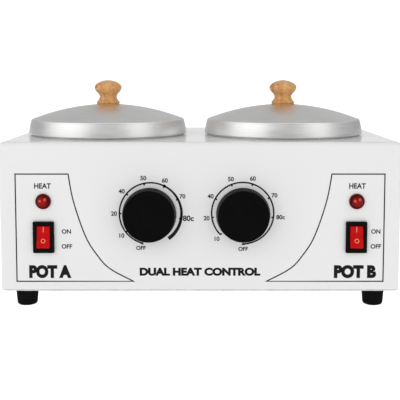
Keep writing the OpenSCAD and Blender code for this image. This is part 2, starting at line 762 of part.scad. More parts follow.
module pot(side) color("gainsboro") at_well(side) difference() {
    bottom = well_bottom + spun_t + pot_floor_gap;
    union() {
        translate([0, 0, bottom]) cup(pot_r, top_z - bottom, bowl_corner);
        translate([0, 0, top_z + flange_t]) cylinder(flange_t, r = pot_flange_r, $fn = STEPS);
        translate([0, 0, top_z - EPS]) cylinder(flange_t + 2 * EPS, r = pot_r, $fn = STEPS);
    }
    translate([0, 0, bottom + spun_t]) cup(pot_r - spun_t, well_depth + 5, bowl_corner - spun_t);
}

module left_pot() pot(LEFT);
module right_pot() pot(RIGHT);

// ---- Lids ----

// Half of a lid's outline from its skirt's edge to the middle, drawn inward by the given thickness.
function lid_outline(t) = let (
    bend_r = shoulder_r - shoulder_round,
    side_z = dome_at(bend_r) - shoulder_round,
    turn = 90 - atan(bend_r / dome_bend)
) concat(
    [[lid_r - t, -skirt_drop], [lid_r - t - 0.3, 1.6 - skirt_drop], [shoulder_r + 0.3 - t, side_z - 2]],
    [for (i = [0:ARC]) [
        bend_r + (shoulder_round - t) * cos(turn * i / ARC),
        side_z + (shoulder_round - t) * sin(turn * i / ARC)]],
    [for (i = [1:TURNED]) let (r = bend_r + (flat_r - bend_r) * i / TURNED) [r, dome_at(r) - t]]
);

module lid(side) color("silver") translate([well_x(side), well_y, lid_z]) {
    difference() {
        rotate_extrude($fn = STEPS) polygon(concat([[0, -skirt_drop]], lid_outline(0), [[0, lid_h]]));
        rotate_extrude($fn = STEPS) polygon(concat(
            [[0, -skirt_drop - 1], [lid_r - spun_t, -skirt_drop - 1]],
            lid_outline(spun_t),
            [[0, lid_h - spun_t]]
        ));
        cylinder(lid_h + 5, r = lid_hole_r, $fn = STEPS);
    }
    ring(lid_r - spun_t / 2, lid_r - lip_w, flange_t);
}

module left_lid() lid(LEFT);
module right_lid() lid(RIGHT);

// The turned knob's outline, as [radius, height] in shares of its largest radius and its height:
// a base disc, a groove, a bead, a waist and a flattened ball for a head.
knob_turning = [
    [0.83, 0], [0.84, 0.025], [0.8, 0.045], [0.872, 0.075], [0.83, 0.115], [0.73, 0.176],
    [0.64, 0.27], [0.64, 0.335], [0.71, 0.42], [0.855, 0.51], [0.963, 0.594], [1, 0.69],
    [0.93, 0.803], [0.735, 0.889], [0.42, 0.965], [0, 1]
];
function knob_outline() = [for (p = spline(knob_turning, 4))
    [min(max(p[0], 0), 1) * grip_r, min(max(p[1], 0), 1) * grip_h]];

module lid_knob(side) color("burlywood")
    translate([well_x(side), well_y, lid_z + lid_h]) difference() {
        rotate_extrude($fn = STEPS) polygon(concat([[0, 0]], knob_outline()));
        translate([0, 0, -1]) cylinder(15, r = m4[0] + 0.02, $fn = STEPS);
    }

module left_lid_knob() lid_knob(LEFT);
module right_lid_knob() lid_knob(RIGHT);

module lid_screw(side) color("silver")
    translate([well_x(side), well_y, lid_z + lid_h - spun_t]) pan_screw(m4, 14);

module lid_screw_left() lid_screw(LEFT);
module lid_screw_right() lid_screw(RIGHT);

case_shell();
base_plate();
base_screws();
foot_front_left();
foot_front_right();
foot_back_left();
foot_back_right();
foot_screws();
foot_nuts();
left_well();
right_well();
left_heater_band();
right_heater_band();
band_screws();
left_insulation();
right_insulation();
left_well_bridge();
right_well_bridge();
bridge_screws();
well_nuts();
left_thermostat();
right_thermostat();
thermostat_terminals();
thermostat_screws();
left_capillary();
right_capillary();
left_switch_housing();
right_switch_housing();
switch_terminals();
left_lamp_body();
right_lamp_body();
left_lamp_lens();
right_lamp_lens();
lamp_clips();
neon_bulbs();
power_inlet();
inlet_pins();
inlet_screws();
inlet_nuts();
terminal_block();
terminal_screws();
earth_stud();
thermal_fuses();
wires_live();
wires_neutral();
wire_earth();
left_pot();
right_pot();
left_lid();
right_lid();
left_lid_knob();
right_lid_knob();
lid_screw_left();
lid_screw_right();
left_dial_knob();
right_dial_knob();
left_dial_shaft();
right_dial_shaft();
left_rocker();
right_rocker();
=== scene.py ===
import json
import math

import bmesh
import bpy
from mathutils import Matrix, Vector

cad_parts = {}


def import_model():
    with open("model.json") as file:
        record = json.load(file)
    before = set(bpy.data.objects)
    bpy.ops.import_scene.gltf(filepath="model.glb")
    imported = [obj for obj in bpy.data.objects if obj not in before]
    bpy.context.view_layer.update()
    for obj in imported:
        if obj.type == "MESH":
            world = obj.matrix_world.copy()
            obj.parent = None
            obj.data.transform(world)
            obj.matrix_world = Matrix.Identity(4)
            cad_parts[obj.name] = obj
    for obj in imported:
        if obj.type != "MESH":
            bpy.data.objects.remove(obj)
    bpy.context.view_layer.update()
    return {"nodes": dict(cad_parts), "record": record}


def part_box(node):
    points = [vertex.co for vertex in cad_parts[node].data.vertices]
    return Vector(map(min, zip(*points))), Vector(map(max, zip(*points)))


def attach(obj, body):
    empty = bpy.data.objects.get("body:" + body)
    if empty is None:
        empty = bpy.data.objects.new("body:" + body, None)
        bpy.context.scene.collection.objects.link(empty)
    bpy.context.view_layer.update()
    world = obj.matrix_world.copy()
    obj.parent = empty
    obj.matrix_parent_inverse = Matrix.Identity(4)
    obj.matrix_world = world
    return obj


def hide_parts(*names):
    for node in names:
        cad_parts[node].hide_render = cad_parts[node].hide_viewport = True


# Looks of a double wax warmer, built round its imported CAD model. Lengths in tables and arguments
# are millimetres, and MM turns them into the frame's metres. +X is right, +Y back, +Z up.

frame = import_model()

MM = 0.001
SIDES = ("left", "right")
ROUND = 160                     # straight pieces round a large turned part
SMALL_ROUND = 64                # the same round a small one


def middle(node):
    """The middle of a CAD node's box, in millimetres."""
    low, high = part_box(node)
    return (low + high) / 2 / MM


def low(node):
    """The lowest corner of a CAD node's box, in millimetres."""
    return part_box(node)[0] / MM


def high(node):
    """The highest corner of a CAD node's box, in millimetres."""
    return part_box(node)[1] / MM


# ---- Places, all taken from the CAD nodes ----

FRONT_Y = low("case_shell").y
BACK_Y = high("case_shell").y
TOP_Z = high("case_shell").z
BASE_Z = low("base_plate").z
CASE_W = high("case_shell").x - low("case_shell").x

# ---- Meshes ----


def add_object(name, mesh, place=(0, 0, 0), turn=(0, 0, 0)):
    obj = bpy.data.objects.new(name, mesh)
    obj.location = Vector(place) * MM
    obj.rotation_euler = turn
    bpy.context.scene.collection.objects.link(obj)
    bpy.context.view_layer.update()
    return obj


FACING_FRONT = (math.pi / 2, 0, 0)              # local z points out of the front panel
FACING_BACK = (math.pi / 2, 0, math.pi)         # local z points out of the back panel


def mesh_of(name, bm):
    """Closes a bmesh drawn in millimetres and returns it as a mesh in metres."""
    bmesh.ops.remove_doubles(bm, verts=bm.verts, dist=1e-4)
    bmesh.ops.recalc_face_normals(bm, faces=bm.faces)
    bmesh.ops.scale(bm, vec=(MM, MM, MM), verts=bm.verts)
    mesh = bpy.data.meshes.new(name)
    bm.to_mesh(mesh)
    bm.free()
    return mesh


def apply_modifiers(obj):
    depsgraph = bpy.context.evaluated_depsgraph_get()
    made = bpy.data.meshes.new_from_object(obj.evaluated_get(depsgraph))
    obj.modifiers.clear()
    obj.data = made
    return obj


def soften(obj, width, segments=3, angle=35):
    """Rounds every edge sharper than the angle, in degrees."""
    bevel = obj.modifiers.new("bevel", "BEVEL")
    bevel.width = width * MM
    bevel.segments = segments
    bevel.limit_method = "ANGLE"
    bevel.angle_limit = math.radians(angle)
    bevel.use_clamp_overlap = True
    return apply_modifiers(obj)


def combine(obj, others, operation):
    """Cuts the other objects from obj, or joins them to it, and removes them."""
    for other in others:
        step = obj.modifiers.new("boolean", "BOOLEAN")
        step.operation = operation
        step.solver = "EXACT"
        step.object = other
        apply_modifiers(obj)
        bpy.data.objects.remove(other)
    return obj


def cut(obj, *cutters):
    return combine(obj, cutters, "DIFFERENCE")


def join(obj, *others):
    return combine(obj, others, "UNION")


def put(obj, material, body, replaces=(), angle=32):
    """Gives a piece its finish and body, and hides the CAD nodes it replaces; edges sharper than the angle
    stay sharp.
    """
    obj.data.materials.clear()
    obj.data.materials.append(material)
    obj.data.polygons.foreach_set("use_smooth", [True] * len(obj.data.polygons))
    obj.data.set_sharp_from_angle(angle=math.radians(angle))
    weighted = obj.modifiers.new("weighted_normals", "WEIGHTED_NORMAL")
    weighted.keep_sharp = True
    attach(obj, body)
    if replaces:
        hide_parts(*replaces)
    return obj


# ---- Outlines ----


def rounded(corners, steps=6, closed=True):
    """An outline through (x, y, radius) corners, each rounded by its radius."""
    points = [Vector(c[:2]) for c in corners]
    count = len(points)
    made = []
    for i, p in enumerate(points):
        radius = corners[i][2] if len(corners[i]) > 2 else 0
        if radius <= 0 or (not closed and i in (0, count - 1)):
            made.append(p)
            continue
        back = (points[i - 1] - p).normalized()
        ahead = (points[(i + 1) % count] - p).normalized()
        half = math.acos(max(-1, min(1, back.dot(ahead)))) / 2
        centre = p + (back + ahead).normalized() * (radius / math.sin(half))
        start = p + back * (radius / math.tan(half)) - centre
        end = p + ahead * (radius / math.tan(half)) - centre
        sweep = start.angle_signed(end)
        for k in range(steps + 1):
            made.append(centre + Matrix.Rotation(-sweep * k / steps, 2) @ start)
    return [(p.x, p.y) for p in made]


def smooth(stations, steps=8):
    """A Catmull-Rom curve through the stations."""
    made = []
    last = len(stations) - 1
    for i in range(last):
        a, b, c, d = (Vector(stations[min(max(j, 0), last)]) for j in range(i - 1, i + 3))
        for k in range(steps):
            t = k / steps
            p = 0.5 * (2 * b + (c - a) * t + (2 * a - 5 * b + 4 * c - d) * t * t
                       + (3 * b - a - 3 * c + d) * t ** 3)
            made.append((p.x, p.y))
    made.append(tuple(stations[last]))
    return made


def lathe(name, outline, place, turn=(0, 0, 0), steps=ROUND, closed=False):
    """Turns an outline of (radius, height) points about local z."""
    bm = bmesh.new()
    rings = []
    for radius, height in outline:
        if radius < 1e-6:
            rings.append([bm.verts.new((0, 0, height))])
            continue
        rings.append([
            bm.verts.new((radius * math.cos(a), radius * math.sin(a), height))
            for a in (2 * math.pi * k / steps for k in range(steps))
        ])
    pairs = list(zip(rings, rings[1:]))
    if closed:
        pairs.append((rings[-1], rings[0]))
    for one, two in pairs:
        for k in range(steps):
            m = (k + 1) % steps
            if len(one) == 1 and len(two) == 1:
                continue
            if len(one) == 1:
                bm.faces.new((one[0], two[k], two[m]))
            elif len(two) == 1:
                bm.faces.new((one[k], one[m], two[0]))
            else:
                bm.faces.new((one[k], one[m], two[m], two[k]))
    return add_object(name, mesh_of(name, bm), place, turn)


def prism(name, outline, z0, z1, place=(0, 0, 0), turn=(0, 0, 0)):
    """A closed outline of (x, y) points, drawn up from z0 to z1."""
    bm = bmesh.new()
    bottom = [bm.verts.new((x, y, z0)) for x, y in outline]
    top = [bm.verts.new((x, y, z1)) for x, y in outline]
    bm.faces.new(bottom)
    bm.faces.new(top)
    for k in range(len(outline)):
        m = (k + 1) % len(outline)
        bm.faces.new((bottom[k], bottom[m], top[m], top[k]))
    return add_object(name, mesh_of(name, bm), place, turn)


def block_outline(w, h, radius, x=0, y=0):
    """A rectangle centred on (x, y), with rounded corners."""
    corners = [(x - w / 2, y - h / 2, radius), (x + w / 2, y - h / 2, radius),
               (x + w / 2, y + h / 2, radius), (x - w / 2, y + h / 2, radius)]
    return rounded(corners)


def circle_outline(radius, x=0, y=0, steps=SMALL_ROUND):
    return [(x + radius * math.cos(2 * math.pi * k / steps),
             y + radius * math.sin(2 * math.pi * k / steps)) for k in range(steps)]


# ---- Materials ----


class Finish:
    """A node material with one Principled shader and helpers that drive its sockets."""

    def __init__(self, name, colour, roughness, **sockets):
        self.material = bpy.data.materials.new(name)
        self.material.use_nodes = True
        self.tree = self.material.node_tree
        self.shader = self.tree.nodes["Principled BSDF"]
        self.shader.inputs["Base Color"].default_value = (*colour, 1)
        self.shader.inputs["Roughness"].default_value = roughness
        for socket, value in sockets.items():
            self.shader.inputs[socket.replace("_", " ")].default_value = value

    def add(self, kind, **values):
        node = self.tree.nodes.new("ShaderNode" + kind)
        for name, value in values.items():
            setattr(node, name, value)
        return node

    def link(self, output, socket):
        self.tree.links.new(output, socket)

    def noise(self, scale, detail=3, stretch=(1, 1, 1), roughness=0.5):
        """Noise in the object's own coordinates, scale in waves a metre."""
        place = self.add("TexCoord")
        stretched = self.add("Mapping")
        stretched.inputs["Scale"].default_value = stretch
        self.link(place.outputs["Object"], stretched.inputs["Vector"])
        node = self.add("TexNoise")
        node.inputs["Scale"].default_value = scale
        node.inputs["Detail"].default_value = detail
        node.inputs["Roughness"].default_value = roughness
        self.link(stretched.outputs["Vector"], node.inputs["Vector"])
        return node.outputs["Fac"]

    def turned_noise(self, scale, wander, detail):
        """Noise that follows rings round local z, as tool marks on a turned part do."""
        place = self.add("TexCoord")
        split = self.add("SeparateXYZ")
        self.link(place.outputs["Object"], split.inputs["Vector"])
        flat = self.add("CombineXYZ")
        self.link(split.outputs["X"], flat.inputs["X"])
        self.link(split.outputs["Y"], flat.inputs["Y"])
        radius = self.add("VectorMath", operation="LENGTH")
        self.link(flat.outputs["Vector"], radius.inputs[0])
        angle = self.add("Math", operation="ARCTAN2")
        self.link(split.outputs["Y"], angle.inputs[0])
        self.link(split.outputs["X"], angle.inputs[1])
        slow = self.add("Math", operation="MULTIPLY")
        slow.inputs[1].default_value = wander / scale
        self.link(angle.outputs["Value"], slow.inputs[0])
        rings = self.add("CombineXYZ")
        self.link(radius.outputs["Value"], rings.inputs["X"])
        self.link(slow.outputs["Value"], rings.inputs["Y"])
        self.link(split.outputs["Z"], rings.inputs["Z"])
        node = self.add("TexNoise")
        node.inputs["Scale"].default_value = scale
        node.inputs["Detail"].default_value = detail
        self.link(rings.outputs["Vector"], node.inputs["Vector"])
        return node.outputs["Fac"]

    def tint(self, factor, stops):
        """Base colour from a ramp of (position, colour) stops."""
        ramp = self.add("ValToRGB")
        elements = ramp.color_ramp.elements
        while len(elements) < len(stops):
            elements.new(0.5)
        for element, (position, colour) in zip(elements, stops):
            element.position = position
            element.color = (*colour, 1)
        self.link(factor, ramp.inputs["Fac"])
        self.link(ramp.outputs["Color"], self.shader.inputs["Base Color"])

    def spread(self, factor, least, most):
        """The factor's middle range, spread from least to most."""
        node = self.add("MapRange")
        node.inputs["From Min"].default_value = 0.3
        node.inputs["From Max"].default_value = 0.7
        node.inputs["To Min"].default_value = least
        node.inputs["To Max"].default_value = most
        self.link(factor, node.inputs["Value"])
        return node.outputs["Result"]

    def rough(self, factor, least, most):
        self.link(self.spread(factor, least, most), self.shader.inputs["Roughness"])

    def bump(self, factor, depth):
        """Raises and lowers the surface by about depth millimetres."""
        node = self.add("Bump")
        node.inputs["Distance"].default_value = depth * MM
        node.inputs["Strength"].default_value = 1
        self.link(factor, node.inputs["Height"])
        self.link(node.outputs["Normal"], self.shader.inputs["Normal"])

    def mix(self, one, two, share):
        node = self.add("Mix", data_type="FLOAT")
        node.inputs["Factor"].default_value = share
        self.link(one, node.inputs["A"])
        self.link(two, node.inputs["B"])
        return node.outputs["Result"]


def enamel():
    f = Finish("enamel_white", (0.86, 0.86, 0.86), 0.14, Coat_Weight=0.1, Coat_Roughness=0.03,
               Specular_IOR_Level=0.25)
    f.tint(f.noise(7, 1), [(0.35, (0.855, 0.855, 0.855)), (0.65, (0.868, 0.868, 0.866))])
    f.rough(f.noise(900, 2), 0.12, 0.17)
    f.bump(f.noise(500, 1), 0.003)
    return f.material


def galvanised():
    f = Finish("galvanised_steel", (0.62, 0.63, 0.64), 0.42, Metallic=0.9)
    f.tint(f.noise(130, 1), [(0.3, (0.52, 0.53, 0.54)), (0.5, (0.63, 0.64, 0.65)), (0.7, (0.7, 0.7, 0.7))])
    f.rough(f.noise(170, 2), 0.34, 0.55)
    f.bump(f.noise(300, 2), 0.02)
    return f.material


def rubber():
    f = Finish("rubber_black", (0.004, 0.004, 0.004), 0.75, Specular_IOR_Level=0.06)
    f.tint(f.noise(500, 3), [(0.3, (0.0025, 0.0025, 0.0025)), (0.7, (0.006, 0.006, 0.006))])
    f.rough(f.noise(250, 3), 0.65, 0.85)
    f.bump(f.noise(1500, 2), 0.02)
    return f.material


def zinc():
    f = Finish("zinc_plate", (0.66, 0.65, 0.6), 0.3, Metallic=1.0)
    f.tint(f.noise(400, 2), [(0.3, (0.58, 0.57, 0.53)), (0.7, (0.74, 0.74, 0.71))])
    f.rough(f.noise(900, 2), 0.22, 0.42)
    f.bump(f.noise(2500, 2), 0.006)
    return f.material


def spun_aluminium(name="spun_aluminium", tone=0.8, least=0.3, most=0.42):
    """Aluminium with the fine rings that spinning leaves; least and most bound its roughness."""
    f = Finish(name, (tone, tone, tone), 0.35, Metallic=1.0, Anisotropic=0.45)
    fine = f.turned_noise(1100, 3, 3)
    smudge = f.noise(28, 3)
    pale = tone * 1.06
    dark = tone * 0.92
    f.tint(f.mix(fine, smudge, 0.35),
           [(0.3, (dark, dark, dark * 0.995)), (0.7, (pale, pale, pale * 0.99))])
    f.rough(f.mix(fine, smudge, 0.5), least, most)
    f.bump(f.mix(fine, f.noise(3200, 2), 0.5), 0.012)
    tangent = f.add("Tangent", direction_type="RADIAL", axis="Z")
    f.link(tangent.outputs["Tangent"], f.shader.inputs["Tangent"])
    return f.material


def heater_steel():
    f = Finish("heater_steel", (0.42, 0.4, 0.37), 0.4, Metallic=1.0)
    f.tint(f.noise(45, 3), [(0.3, (0.4, 0.34, 0.27)), (0.55, (0.52, 0.5, 0.47)), (0.75, (0.38, 0.36, 0.4))])
    f.rough(f.noise(300, 3), 0.3, 0.55)
    f.bump(f.noise(700, 2), 0.02)
    return f.material


def glass_fibre():
    f = Finish("glass_fibre_felt", (0.72, 0.66, 0.5), 0.95, Sheen_Weight=0.4, Specular_IOR_Level=0.2)
    f.tint(f.noise(350, 4), [(0.3, (0.6, 0.53, 0.38)), (0.7, (0.82, 0.77, 0.63))])
    f.bump(f.noise(1100, 4, (1, 1, 0.3)), 0.5)
    return f.material


def metal(name, pale, dark, least=0.25, most=0.45):
    f = Finish(name, pale, 0.35, Metallic=1.0)
    f.tint(f.noise(350, 3), [(0.3, dark), (0.7, pale)])
    f.rough(f.noise(700, 2), least, most)
    f.bump(f.noise(1800, 2), 0.008)
    return f.material


def plastic(name, pale, dark, least, most, grain=1400, depth=0.008, **sockets):
    f = Finish(name, pale, most, **sockets)
    f.tint(f.noise(160, 2), [(0.3, dark), (0.7, pale)])
    f.rough(f.noise(grain / 3, 2), least, most)
    f.bump(f.noise(grain, 2), depth)
    return f.material


LENS_HIGHLIGHTS = ((-2.3, 0.9), (2.1, 2.1))         # where the two painted highlights lie, from a lamp's middle


def red_lens():
    """Red plastic, lighter in the middle, with a dark ring and a paler outer rim round it; two painted
    highlights, up left and up right, glow through its emission.
    """
    f = Finish("lens_red", (0.3, 0.003, 0.004), 0.1, Specular_IOR_Level=0.1)
    place = f.add("TexCoord")

    def share(x, y, least, most):
        """0 to 1 as the distance from local (x, y) goes from least to most millimetres."""
        shifted = f.add("Mapping")
        shifted.inputs["Location"].default_value = (-x * MM, -y * MM, 0)
        shifted.inputs["Scale"].default_value = (1, 1, 0)
        f.link(place.outputs["Object"], shifted.inputs["Vector"])
        radius = f.add("VectorMath", operation="LENGTH")
        f.link(shifted.outputs["Vector"], radius.inputs[0])
        spread = f.add("MapRange")
        spread.inputs["From Min"].default_value = least * MM
        spread.inputs["From Max"].default_value = most * MM
        f.link(radius.outputs["Value"], spread.inputs["Value"])
        return spread.outputs["Result"]

    speckled = f.mix(share(0, 0, 0, 7), f.noise(900, 2), 0.12)
    f.tint(speckled, [(0.1, (0.4, 0.003, 0.003)), (0.5, (0.24, 0.0015, 0.0015)),
                      (0.66, (0.07, 0.0004, 0.0006)), (0.84, (0.04, 0.0006, 0.001)),
                      (0.96, (0.3, 0.05, 0.05))])
    # Painted highlights: the emission glows pale red round two spots off the lens's middle.
    nearest_highlight = f.add("Math", operation="MINIMUM")
    for (x, y), socket in zip(LENS_HIGHLIGHTS, nearest_highlight.inputs):
        f.link(share(x, y, 0.2, 2.6), socket)
    painted_highlights = f.mix(nearest_highlight.outputs["Value"], f.noise(600, 1), 0.2)
    # Colour of the painted highlights, pale red at their middles fading to none.
    glow = f.add("ValToRGB")
    for element, (position, colour) in zip(
            glow.color_ramp.elements, [(0.15, (1.0, 0.24, 0.18)), (0.6, (0.03, 0, 0))]):
        element.position = position
        element.color = (*colour, 1)
    f.link(painted_highlights, glow.inputs["Fac"])
    f.link(glow.outputs["Color"], f.shader.inputs["Emission Color"])
    f.shader.inputs["Emission Strength"].default_value = 0.45
    f.bump(f.noise(500, 1), 0.05)
    return f.material


def beech():
    f = Finish("beech_varnished", (0.66, 0.36, 0.12), 0.3, Coat_Weight=0.8, Coat_Roughness=0.1,
               Specular_IOR_Level=0.4)
    grain = f.noise(260, 4, (1, 1, 0.12), 0.6)
    fleck = f.noise(1500, 2, (1, 1, 0.15), 0.5)
    f.tint(f.mix(grain, fleck, 0.35),
           [(0.34, (0.4, 0.145, 0.026)), (0.47, (0.68, 0.32, 0.082)), (0.66, (0.86, 0.48, 0.15))])
    f.rough(fleck, 0.22, 0.36)
    f.bump(fleck, 0.012)
    return f.material


def ink(name="ink_black", pale=(0.007, 0.007, 0.008), dark=(0.004, 0.004, 0.005)):
    f = Finish(name, pale, 0.45, Specular_IOR_Level=0.15)
    f.tint(f.noise(900, 2), [(0.3, dark), (0.7, pale)])
    f.rough(f.noise(500, 2), 0.4, 0.55)
    f.bump(f.noise(2500, 1), 0.003)
    return f.material


FINISH = {
    "enamel": enamel(),
    "base_steel": galvanised(),
    "rubber": rubber(),
    "zinc": zinc(),
    "spun_aluminium": spun_aluminium(),
    "lid": spun_aluminium("satin_aluminium", 0.82, 0.31, 0.45),
    "heater_steel": heater_steel(),
    "glass_fibre": glass_fibre(),
    "brass": metal("brass", (0.72, 0.54, 0.24), (0.6, 0.42, 0.16)),
    "copper": metal("copper", (0.75, 0.4, 0.26), (0.58, 0.26, 0.15)),
    "thermostat_can": metal("thermostat_steel", (0.6, 0.6, 0.58), (0.48, 0.48, 0.47), 0.3, 0.5),
    "black_plastic": plastic("black_plastic", (0.0035, 0.0035, 0.0035), (0.0022, 0.0022, 0.0022),
                             0.28, 0.4, Specular_IOR_Level=0.06),
    "black_knob": plastic("knob_satin_black", (0.0022, 0.0022, 0.0022), (0.0014, 0.0014, 0.0014),
                          0.34, 0.46, 2200, 0.01, Specular_IOR_Level=0.045),
    "red_plastic": plastic("rocker_red", (0.6, 0.004, 0.006), (0.5, 0.003, 0.004),
                           0.14, 0.24, 900, 0.006, Specular_IOR_Level=0.12),
    "red_lens": red_lens(),
    "neon": plastic("neon_glass", (0.75, 0.4, 0.24), (0.6, 0.28, 0.15), 0.08, 0.16, Coat_Weight=0.8),
    "ceramic_block": plastic("block_ivory", (0.75, 0.72, 0.62), (0.66, 0.62, 0.5), 0.35, 0.55),
    "fuse": metal("fuse_tin", (0.78, 0.77, 0.74), (0.64, 0.63, 0.6)),
    "wire_brown": plastic("silicone_brown", (0.16, 0.07, 0.035), (0.11, 0.045, 0.02), 0.45, 0.6),
    "wire_blue": plastic("silicone_blue", (0.03, 0.12, 0.5), (0.02, 0.08, 0.38), 0.45, 0.6),
    "wire_green": plastic("silicone_green", (0.06, 0.42, 0.07), (0.5, 0.46, 0.03), 0.45, 0.6, 300),
    "beech": beech(),
    "ink": ink(),
    "mark": ink("mark_amber", (0.85, 0.4, 0.18), (0.75, 0.32, 0.13)),
}

# ---- Case ----

FOLD_R = 3.4                    # the folds round the top
CORNER_R = 2.0                  # the upright corners
BOTTOM_FOLD_R = 1.2             # the folds round the bottom
SHEET_T = 1.0
CASE_FLANGE_W = 18.0            # the flange turned in round the bottom

WELL_HOLE_R = 70.0
DIAL_HOLE_R = 5.0
SWITCH_HOLE = (16.2, 25.2)
LAMP_HOLE_R = 5.6
INLET_HOLE = (28.0, 21.0)
HOLE_CORNER = 0.5


def folded_box():
    """A sheet-steel box: folded round the top, open below but for a flange turned in."""
    bm = bmesh.new()
    half_w = CASE_W / 2
    z0, z1 = low("case_shell").z, TOP_Z
    bottom = [bm.verts.new((x, y, z0)) for x, y in
              ((-half_w, FRONT_Y), (half_w, FRONT_Y), (half_w, BACK_Y), (-half_w, BACK_Y))]
    top = [bm.verts.new((v.co.x, v.co.y, z1)) for v in bottom]
    mid_y = (FRONT_Y + BACK_Y) / 2
    inner = [bm.verts.new((v.co.x - math.copysign(CASE_FLANGE_W, v.co.x),
                           v.co.y - math.copysign(CASE_FLANGE_W, v.co.y - mid_y), z0)) for v in bottom]
    bm.faces.new(top)
    for k in range(4):
        m = (k + 1) % 4
        bm.faces.new((bottom[k], bottom[m], top[m], top[k]))
        bm.faces.new((inner[k], inner[m], bottom[m], bottom[k]))
    weight = bm.edges.layers.float.new("bevel_weight_edge")
    for edge in bm.edges:
        ends = set(edge.verts)
        if ends <= set(top):
            edge[weight] = 1.0
        elif ends <= set(bottom):
            edge[weight] = BOTTOM_FOLD_R / FOLD_R
        elif ends & set(top) and ends & set(bottom):
            edge[weight] = CORNER_R / FOLD_R
    shell = add_object("case_enamelled", mesh_of("case_enamelled", bm))
    bevel = shell.modifiers.new("folds", "BEVEL")
    bevel.limit_method = "WEIGHT"
    bevel.width = FOLD_R * MM
    bevel.segments = 8
    sheet_metal = shell.modifiers.new("sheet", "SOLIDIFY")
    sheet_metal.thickness = SHEET_T * MM
    sheet_metal.offset = -1
    sheet_metal.use_even_offset = True
    return apply_modifiers(shell)


def hole(outline, x, y, z, turn=(0, 0, 0)):
    """A cutter right through a panel at a place on its outer face."""
    return prism("hole", outline, -5, 5, (x, y, z), turn)


def case_holes():
    """Cutters for whatever passes through the case."""
    cutters = []
    for side in SIDES:
        well = middle(side + "_well")
        cutters.append(hole(circle_outline(WELL_HOLE_R, steps=ROUND), well.x, well.y, TOP_Z))
        for node, outline in ((side + "_dial_knob", circle_outline(DIAL_HOLE_R)),
                              (side + "_switch_housing", block_outline(*SWITCH_HOLE, HOLE_CORNER)),
                              (side + "_lamp_lens", circle_outline(LAMP_HOLE_R))):
            place = middle(node)
            cutters.append(hole(outline, place.x, FRONT_Y, place.z, FACING_FRONT))
    inlet = middle("power_inlet")
    outline = block_outline(*INLET_HOLE, HOLE_CORNER)
    cutters.append(hole(outline, inlet.x, BACK_Y, inlet.z, FACING_BACK))
    return cutters


def case_shell():
    shell = cut(folded_box(), *case_holes())
    put(shell, FINISH["enamel"], "case", ("case_shell",))


# ---- Pots, wells and lids ----

POT_R = 66.4                    # outside of a pot's wall
WELL_R = 69.2                   # outside of a well's wall
WELL_DEPTH = 82.0               # from the top panel down to the inside of a well's floor
BOWL_WALL = 1.2
BOWL_CORNER = 8.0
BOWL_FLANGE_T = 1.0
STUD_R = 2.5                    # the stud below a well
STUD_CHAMFER = 0.5


def cup_outline(r, floor, rim, flange_r, under):
    """A bowl with a flat flange: (radius, height) points from the middle inside to outside."""
    edge = BOWL_FLANGE_T * 0.45
    return rounded([
        (0, floor + BOWL_WALL), (r - BOWL_WALL, floor + BOWL_WALL, BOWL_CORNER - BOWL_WALL),
        (r - BOWL_WALL, rim, 1.2), (flange_r, rim, edge), (flange_r, rim - BOWL_FLANGE_T, edge),
        (r + under, rim - BOWL_FLANGE_T, 0), (r, rim - BOWL_FLANGE_T, 0), (r, floor, BOWL_CORNER),
        (0, floor)
    ], closed=False)


def wells_and_pots():
    for side in SIDES:
        pot = side + "_pot"
        place = middle(pot)
        outline = cup_outline(POT_R, low(pot).z, high(pot).z, high(pot).x - place.x, 0.5)
        obj = lathe(side + "_pot_spun", outline, (place.x, place.y, 0))
        put(obj, FINISH["spun_aluminium"], pot, (pot,))
        well = side + "_well"
        place = middle(well)
        floor = high(well).z - BOWL_FLANGE_T - WELL_DEPTH - BOWL_WALL
        outline = cup_outline(WELL_R, floor, high(well).z, high(well).x - place.x, 0.3)
        stud_z = low(well).z
        stud = [(STUD_R, floor), (STUD_R, stud_z + STUD_CHAMFER), (STUD_R - STUD_CHAMFER, stud_z),
                (0, stud_z)]
        obj = lathe(side + "_well_spun", outline[:-1] + stud, (place.x, place.y, 0))
        put(obj, FINISH["spun_aluminium"], "case", (well,))


LID_SHOULDER_R = 76.7
LID_WALL = 1.2
LID_HOLE_R = 2.2                # for the screw that holds the knob
LIP_W = 4.3                     # the lip that rests on the pot
LIP_T = 1.0
SKIRT_DROP = 0.4                # how far the skirt hangs below the lip
SKIRT_BULGE = 0.25
DOME_BEND = 195.0               # the dome's slope at radius r is r / DOME_BEND
DOME_FLAT_R = 12.0


def dome_drop(r):
    """How far the dome falls below its middle at radius r."""
    if r < DOME_FLAT_R:
        return 0.0
    return (r * r - DOME_FLAT_R ** 2) / (2 * DOME_BEND)


def lid_outline(rim_r, height, wall):
    """A lid's outer face from its skirt's edge up to its middle, moved inward by the wall."""
    shoulder = 2.0
    edge_z = 0.4                # where the skirt's rounded edge ends
    bend_r = LID_SHOULDER_R - shoulder
    side_z = height - dome_drop(bend_r) - shoulder
    rows = 10
    skirt = []
    for k in range(rows + 1):
        t = k / rows
        bulge = SKIRT_BULGE * math.sin(math.pi * t)
        skirt.append((rim_r - wall + (LID_SHOULDER_R - rim_r) * t + bulge, edge_z + (side_z - edge_z) * t))
    turn = math.pi / 2 - math.atan(bend_r / DOME_BEND)
    bend = [(bend_r + (shoulder - wall) * math.cos(turn * k / rows),
             side_z + (shoulder - wall) * math.sin(turn * k / rows))
            for k in range(1, rows + 1)]
    steps = 28
    dome = [(r, height - wall - dome_drop(r))
            for r in (bend_r + (DOME_FLAT_R - bend_r) * k / steps for k in range(1, steps + 1))]
    return skirt + bend + dome


